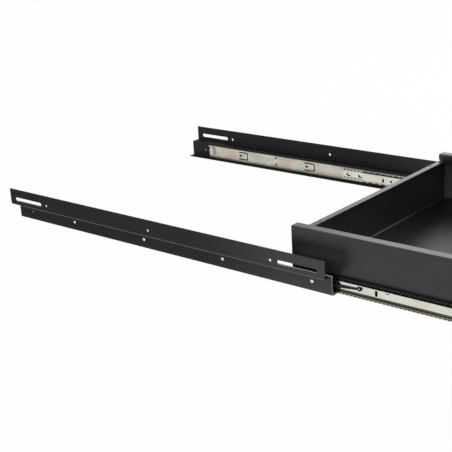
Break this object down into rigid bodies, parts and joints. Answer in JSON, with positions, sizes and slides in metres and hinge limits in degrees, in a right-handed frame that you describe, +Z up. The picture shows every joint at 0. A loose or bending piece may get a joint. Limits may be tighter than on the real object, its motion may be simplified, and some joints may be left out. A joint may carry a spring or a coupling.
{
  "type": "rack drawer",
  "caption": "Open-topped sheet-steel rack drawer on ball-bearing telescopic slides with slotted side brackets for a 19-inch rack, stored pulled out.",
  "frame": {"origin": "centre of the whole part's bounding box, with the drawer pulled out as stored: on the mid plane between the two brackets, at the mid height of the drawer box", "axes": "+X across the rack to the right-hand bracket, -Y forward out of the rack, the way the drawer opens, +Z up"},
  "size_m": [0.4826, 1.1292, 0.0882],
  "materials": {
    "bracket_black": "satin fine-textured black powder coat",
    "drawer_black": "satin black powder coat",
    "panel_black": "satin black powder coat",
    "handle_black": "satin black powder coat",
    "zinc_steel": "zinc plated, faintly iridescent",
    "retainer_steel": "bright zinc plated",
    "ball_steel": "polished bearing steel",
    "rivet_steel": "bright zinc plated",
    "screw_steel": "zinc plated",
    "lever_plastic": "matt black acetal",
    "oiled_steel": "dark oiled steel",
    "bumper_nylon": "milky white nylon"
  },
  "bodies": {
    "brackets": {"left_bracket": "bracket_black", "right_bracket": "bracket_black", "left_bracket_rivets": "rivet_steel", "right_bracket_rivets": "rivet_steel", "left_outer_member": "zinc_steel", "right_outer_member": "zinc_steel", "left_rear_bumper": "bumper_nylon", "right_rear_bumper": "bumper_nylon"},
    "drawer": {"drawer_floor": "drawer_black", "drawer_left_side": "drawer_black", "drawer_right_side": "drawer_black", "drawer_back": "drawer_black", "front_panel": "panel_black", "front_panel_screws": "screw_steel", "pull_handle": "handle_black", "handle_screws": "screw_steel", "left_drawer_member": "zinc_steel", "right_drawer_member": "zinc_steel", "left_drawer_rivets": "rivet_steel", "right_drawer_rivets": "rivet_steel"},
    "left_intermediate": {"left_intermediate_member": "zinc_steel", "left_lever_pin": "rivet_steel"},
    "left_lever": {"left_lock_lever": "lever_plastic"},
    "left_outer_cage": {"left_outer_retainer": "retainer_steel", "left_outer_balls": "ball_steel"},
    "left_inner_cage": {"left_inner_retainer": "oiled_steel", "left_inner_balls": "ball_steel"},
    "right_intermediate": {"right_intermediate_member": "zinc_steel", "right_lever_pin": "rivet_steel"},
    "right_lever": {"right_lock_lever": "lever_plastic"},
    "right_outer_cage": {"right_outer_retainer": "retainer_steel", "right_outer_balls": "ball_steel"},
    "right_inner_cage": {"right_inner_retainer": "oiled_steel", "right_inner_balls": "ball_steel"}
  },
  "joints": [
    {"name": "drawer_slide", "type": "slide", "parent": "brackets", "child": "drawer", "axis": [0, 1, 0], "range_m": [0, 0.484]},
    {"name": "left_intermediate_slide", "type": "slide", "parent": "brackets", "child": "left_intermediate", "axis": [0, 1, 0], "range_m": [0, 0.326]},
    {"name": "left_outer_cage_slide", "type": "slide", "parent": "brackets", "child": "left_outer_cage", "axis": [0, 1, 0], "range_m": [0, 0.163]},
    {"name": "left_inner_cage_slide", "type": "slide", "parent": "brackets", "child": "left_inner_cage", "axis": [0, 1, 0], "range_m": [0, 0.405]},
    {"name": "left_lever_pivot", "type": "hinge", "parent": "left_intermediate", "child": "left_lever", "pos_m": [-0.204, -0.07185, -0.02355], "axis": [1, 0, 0], "range_deg": [0, 3.5]},
    {"name": "right_intermediate_slide", "type": "slide", "parent": "brackets", "child": "right_intermediate", "axis": [0, 1, 0], "range_m": [0, 0.326]},
    {"name": "right_outer_cage_slide", "type": "slide", "parent": "brackets", "child": "right_outer_cage", "axis": [0, 1, 0], "range_m": [0, 0.163]},
    {"name": "right_inner_cage_slide", "type": "slide", "parent": "brackets", "child": "right_inner_cage", "axis": [0, 1, 0], "range_m": [0, 0.405]},
    {"name": "right_lever_pivot", "type": "hinge", "parent": "right_intermediate", "child": "right_lever", "pos_m": [0.204, -0.07185, -0.02355], "axis": [1, 0, 0], "range_deg": [0, 3.5]}
  ],
  "couplings": [
    {"joint": "left_intermediate_slide", "follows": "drawer_slide", "ratio": 0.67355},
    {"joint": "left_outer_cage_slide", "follows": "drawer_slide", "ratio": 0.33677},
    {"joint": "left_inner_cage_slide", "follows": "drawer_slide", "ratio": 0.83678},
    {"joint": "right_intermediate_slide", "follows": "drawer_slide", "ratio": 0.67355},
    {"joint": "right_outer_cage_slide", "follows": "drawer_slide", "ratio": 0.33677},
    {"joint": "right_inner_cage_slide", "follows": "drawer_slide", "ratio": 0.83678}
  ]
}
